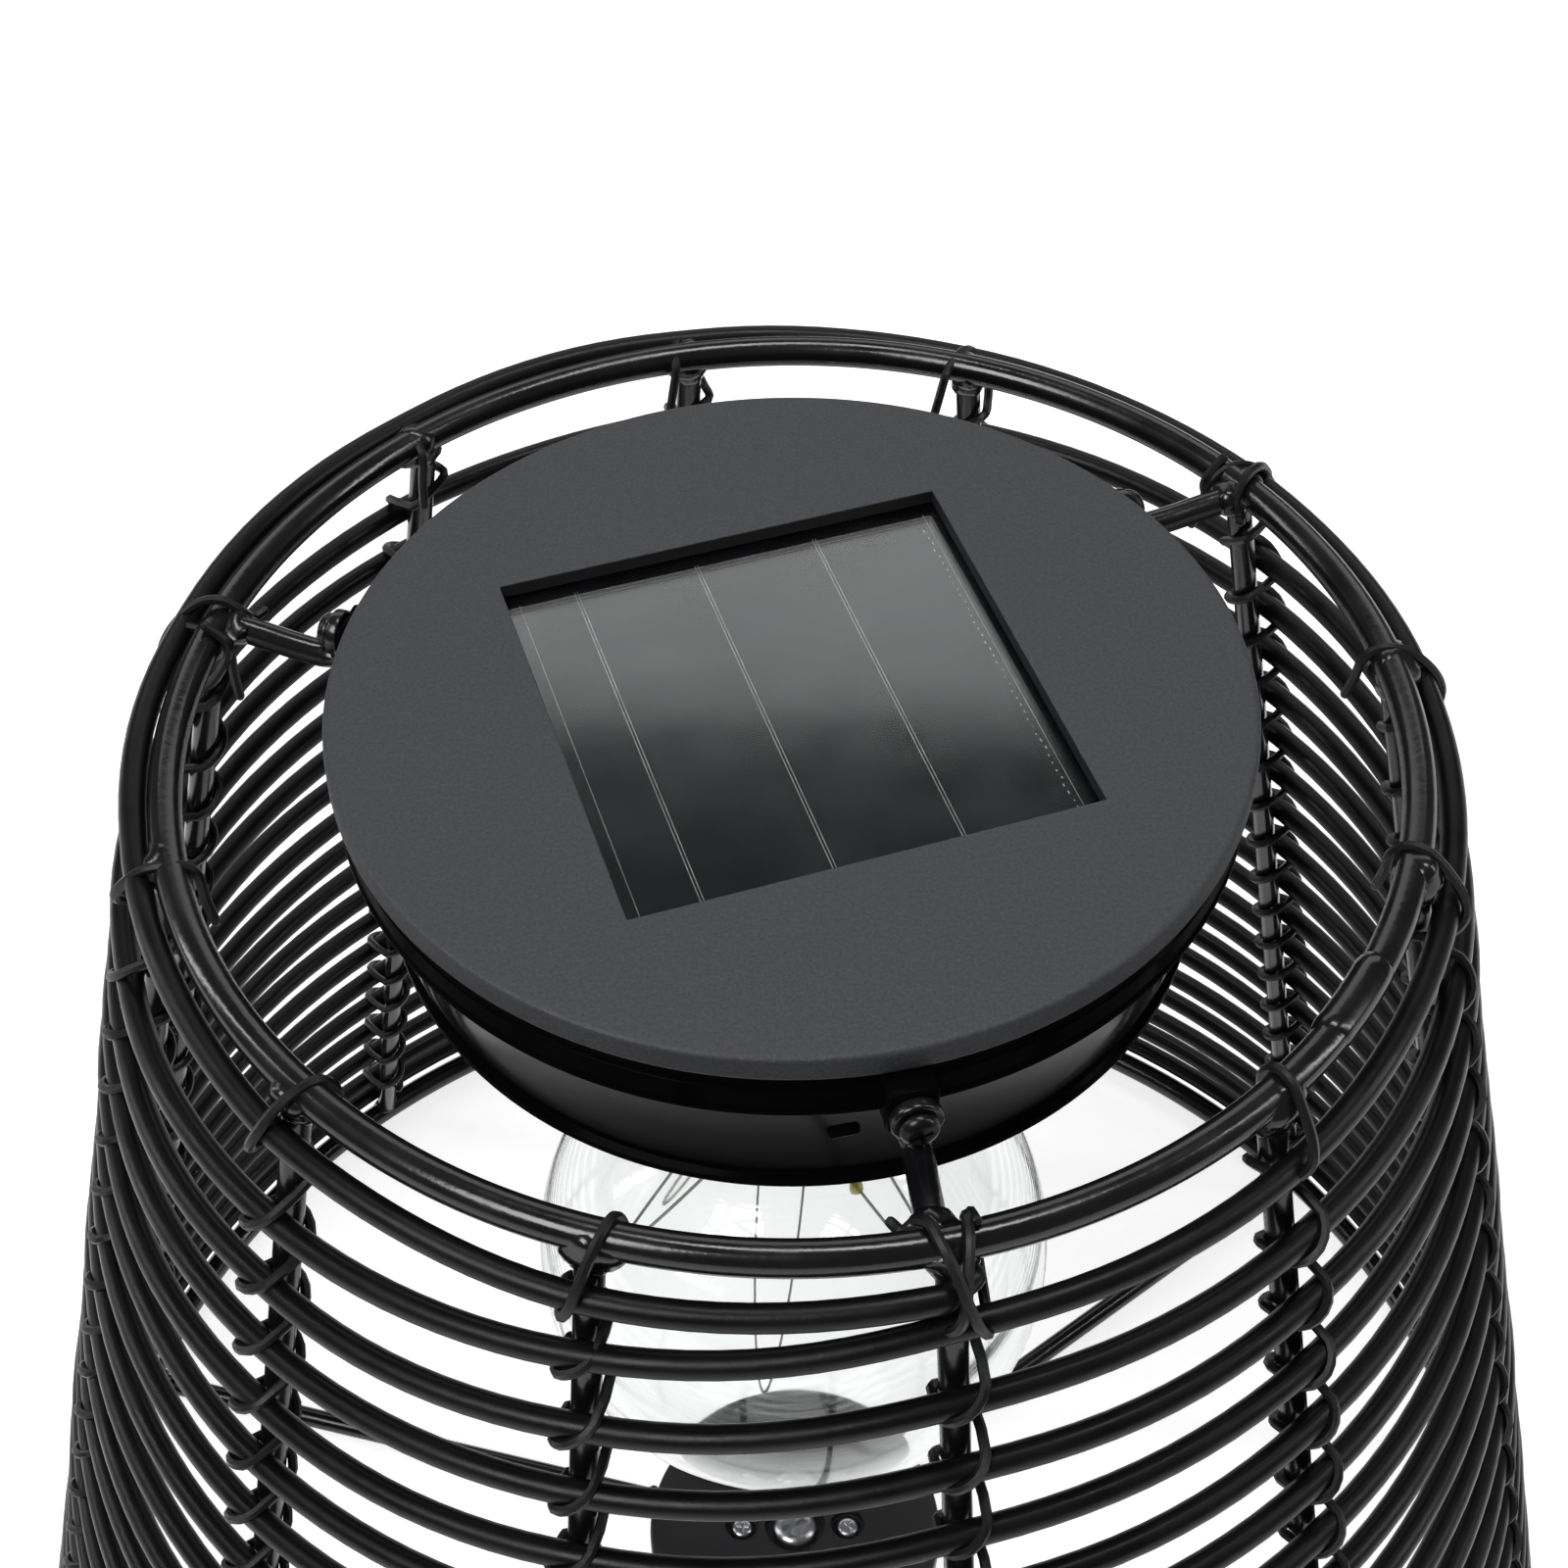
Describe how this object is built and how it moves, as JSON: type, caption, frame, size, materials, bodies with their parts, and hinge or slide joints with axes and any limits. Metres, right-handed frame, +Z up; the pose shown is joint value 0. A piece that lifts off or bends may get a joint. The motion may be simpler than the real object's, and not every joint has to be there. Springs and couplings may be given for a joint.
{
  "type": "solar lantern",
  "caption": "Conical woven wire-frame garden lantern with a round solar cap over a cup that holds the battery, and a clear globe bulb with a wire of small LEDs hung inside.",
  "frame": {"origin": "centre of the circle that the lantern stands on, at the underside of the bottom ring and hub", "axes": "+Z up along the lantern's axis; +X to the right and -Y towards the viewer of the front, which shows one of the three arms; the first rib's azimuth is -106.4 degrees"},
  "size_m": [0.3159, 0.3161, 0.2615],
  "materials": {
    "powder_coat": "glossy black powder coat on steel wire",
    "strand": "satin black round plastic strand",
    "cap": "fine-textured charcoal moulding",
    "cup": "polished black moulding",
    "clear_plastic": "clear, slightly grey moulded plastic",
    "solar_cell": "dark blue-grey laminated cell with thin silver lines",
    "zinc": "bright zinc-plated screw",
    "black_screw": "black-painted screw",
    "board": "green circuit board",
    "battery_wrap": "plain blue shrink wrap",
    "contact_metal": "nickel-plated spring steel",
    "led_wire": "thin enamelled silver wire with small yellow-green LED drops",
    "seal": "black rubber"
  },
  "bodies": {
    "lantern": {"base_strut_1": "powder_coat", "base_strut_2": "powder_coat", "base_strut_3": "powder_coat", "battery": "battery_wrap", "battery_contact": "contact_metal", "battery_holder": "cup", "battery_spring": "contact_metal", "bottom_ring": "powder_coat", "bulb_globe": "clear_plastic", "bulb_socket": "cup", "circuit_board": "board", "hanger_arm_1": "powder_coat", "hanger_arm_2": "powder_coat", "hanger_arm_3": "powder_coat", "hanger_screw_1": "black_screw", "hanger_screw_2": "black_screw", "hanger_screw_3": "black_screw", "hub_plate": "powder_coat", "hub_screw_centre": "zinc", "hub_screw_left": "zinc", "hub_screw_right": "zinc", "lamp_cup": "cup", "led_string": "led_wire", "rib_1": "powder_coat", "rib_10": "powder_coat", "rib_11": "powder_coat", "rib_12": "powder_coat", "rib_2": "powder_coat", "rib_3": "powder_coat", "rib_4": "powder_coat", "rib_5": "powder_coat", "rib_6": "powder_coat", "rib_7": "powder_coat", "rib_8": "powder_coat", "rib_9": "powder_coat", "switch_body": "cup", "top_ring": "powder_coat", "weave_strand_1": "strand", "weave_strand_10": "strand", "weave_strand_2": "strand", "weave_strand_3": "strand", "weave_strand_4": "strand", "weave_strand_5": "strand", "weave_strand_6": "strand", "weave_strand_7": "strand", "weave_strand_8": "strand", "weave_strand_9": "strand"},
    "solar_cap": {"cap_shell": "cap", "cap_seal": "seal", "solar_cell": "solar_cell", "cell_cover": "clear_plastic", "cell_retainer": "cup", "retainer_screw_1": "zinc", "retainer_screw_2": "zinc", "retainer_screw_3": "zinc"},
    "switch_slider": {"switch_knob": "cap"}
  },
  "joints": [
    {"name": "cap_lift", "type": "slide", "parent": "lantern", "child": "solar_cap", "axis": [0, 0, 1], "range_m": [0, 0.06]},
    {"name": "switch_slide", "type": "slide", "parent": "lantern", "child": "switch_slider", "axis": [1, 0, 0], "range_m": [0, 0.003]}
  ]
}
